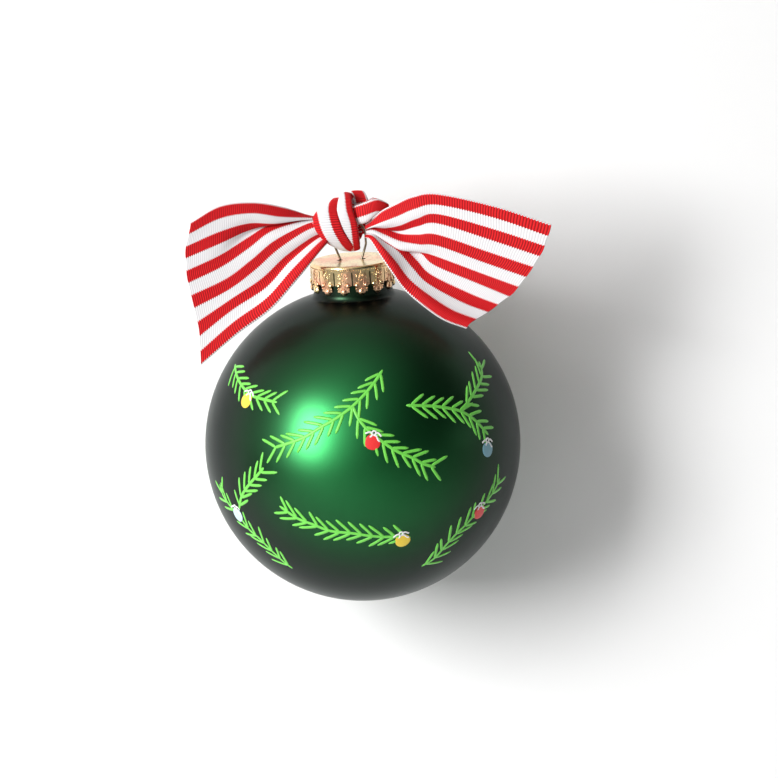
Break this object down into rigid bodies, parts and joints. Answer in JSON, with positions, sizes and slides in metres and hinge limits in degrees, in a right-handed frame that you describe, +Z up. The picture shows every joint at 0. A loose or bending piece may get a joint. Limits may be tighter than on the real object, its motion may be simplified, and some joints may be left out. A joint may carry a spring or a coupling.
{
  "type": "glass ball ornament",
  "caption": "Hollow glass ball with a pressed metal cap, a spring wire hanger and a striped ribbon tied in a bow on the hanger's loop.",
  "frame": {"origin": "roof of the hook gap: the underside of the ribbon's knot, midway between the two wires, where a hook bears", "axes": "+Z up, along the ball's neck; +X to the right of the bow, in the plane of the wire loop; the front of the bow faces -Y"},
  "size_m": [0.1162, 0.1, 0.131],
  "materials": {
    "ball_lacquer": "satin",
    "cap_gold": "polished",
    "hanger_wire": "polished",
    "ribbon_cloth": "matte"
  },
  "bodies": {
    "hanger": {"wire_hanger": "hanger_wire"},
    "cap": {"ornament_cap": "cap_gold"},
    "ball": {"glass_ball": "ball_lacquer"},
    "ribbon": {"ribbon_knot": "ribbon_cloth", "ribbon_tail_left": "ribbon_cloth", "ribbon_tail_right": "ribbon_cloth"}
  },
  "joints": [
    {"name": "loop_push", "type": "slide", "parent": "hanger", "child": "cap", "axis": [0, 0, 1], "range_m": [0, 0.0022]},
    {"name": "ball_spin", "type": "hinge", "parent": "cap", "child": "ball", "pos_m": [0, 0, -0.0101], "axis": [0, 0, 1], "continuous": true},
    {"name": "bow_tip", "type": "hinge", "parent": "hanger", "child": "ribbon", "pos_m": [0, 0, 0.0072], "axis": [-1, 0, 0], "range_deg": [0, 20]}
  ]
}
